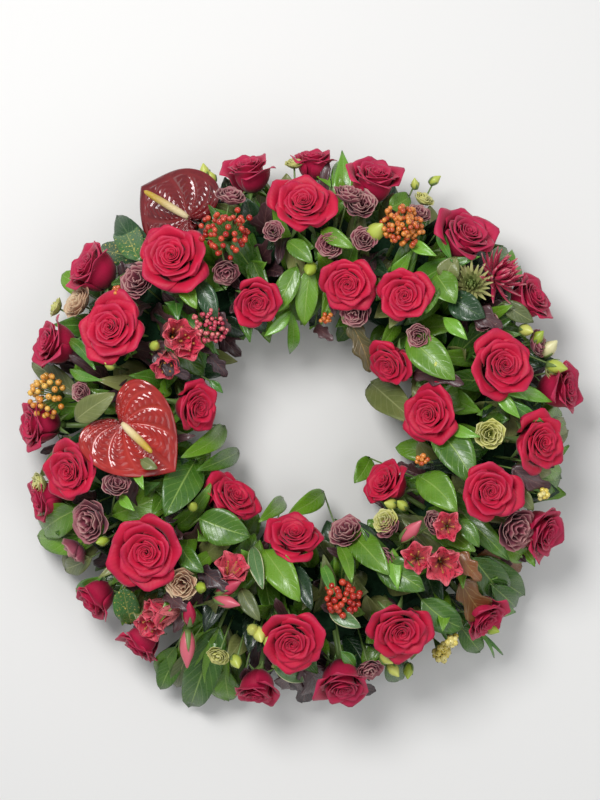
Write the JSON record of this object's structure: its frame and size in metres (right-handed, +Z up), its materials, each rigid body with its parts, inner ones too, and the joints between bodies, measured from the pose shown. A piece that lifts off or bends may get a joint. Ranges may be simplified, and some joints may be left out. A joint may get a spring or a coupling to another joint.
{
  "type": "funeral wreath",
  "caption": "Round funeral wreath of red roses, anthuriums, small blooms, berries and leaves in a foam ring, lying face up.",
  "frame": {"origin": "middle of the wreath's footprint, on the surface that it lies on", "axes": "+Z up, away from the surface, out of the blooms' faces; +Y towards the top of the wreath as it is looked at; +X to the right"},
  "size_m": [0.5682, 0.5798, 0.1592],
  "materials": {
    "rose_petals": "velvety crimson petals with a soft sheen, darker in the folds",
    "spathes": "waxed and glossy, embossed veins, oxblood to brick red, cream and yellow spadix",
    "small_petals": "soft ruffled petals, mauve with cream edges, and pink-red",
    "berries": "smooth and glossy, orange to yellow and pink",
    "leaves": "waxy leaves, glossy green to dark purple-brown, with a midrib and veins",
    "floral_foam": "wet open-cell foam, dull green",
    "tray_plastic": "thin moulded plastic, dark green"
  },
  "bodies": {
    "root": {"rose_01": "rose_petals", "rose_02": "rose_petals", "rose_03": "rose_petals", "rose_04": "rose_petals", "rose_05": "rose_petals", "rose_06": "rose_petals", "rose_07": "rose_petals", "rose_08": "rose_petals", "rose_09": "rose_petals", "rose_10": "rose_petals", "rose_11": "rose_petals", "rose_12": "rose_petals", "rose_13": "rose_petals", "rose_14": "rose_petals", "rose_15": "rose_petals", "rose_16": "rose_petals", "rose_17": "rose_petals", "rose_18": "rose_petals", "rose_19": "rose_petals", "rose_20": "rose_petals", "rose_21": "rose_petals", "rose_22": "rose_petals", "rose_23": "rose_petals", "rose_24": "rose_petals", "rose_25": "rose_petals", "rose_26": "rose_petals", "rose_27": "rose_petals", "rose_28": "rose_petals", "rose_29": "rose_petals", "rose_30": "rose_petals", "rose_31": "rose_petals", "rose_32": "rose_petals", "rose_33": "rose_petals", "rose_34": "rose_petals", "rose_35": "rose_petals", "anthurium_dark": "spathes", "anthurium_red": "spathes", "spider_mums": "small_petals", "lisianthus_top": "small_petals", "lisianthus_upper_left": "small_petals", "lisianthus_right": "small_petals", "lisianthus_left": "small_petals", "lisianthus_lower_right": "small_petals", "alstroemeria_left": "small_petals", "alstroemeria_lower_left": "small_petals", "berries_orange_open": "berries", "berries_orange_dense": "berries", "pepperberries_pink": "berries", "berries_amber": "berries", "berries_red_orange": "berries", "berries_yellow": "berries", "ruscus_top": "leaves", "leaves_upper_left": "leaves", "leaves_lower_left": "leaves", "leaves_bottom": "leaves", "ninebark_bottom": "leaves", "leaves_lower_right": "leaves", "leaves_right": "leaves", "foam_ring": "floral_foam", "tray": "tray_plastic"}
  },
  "joints": []
}
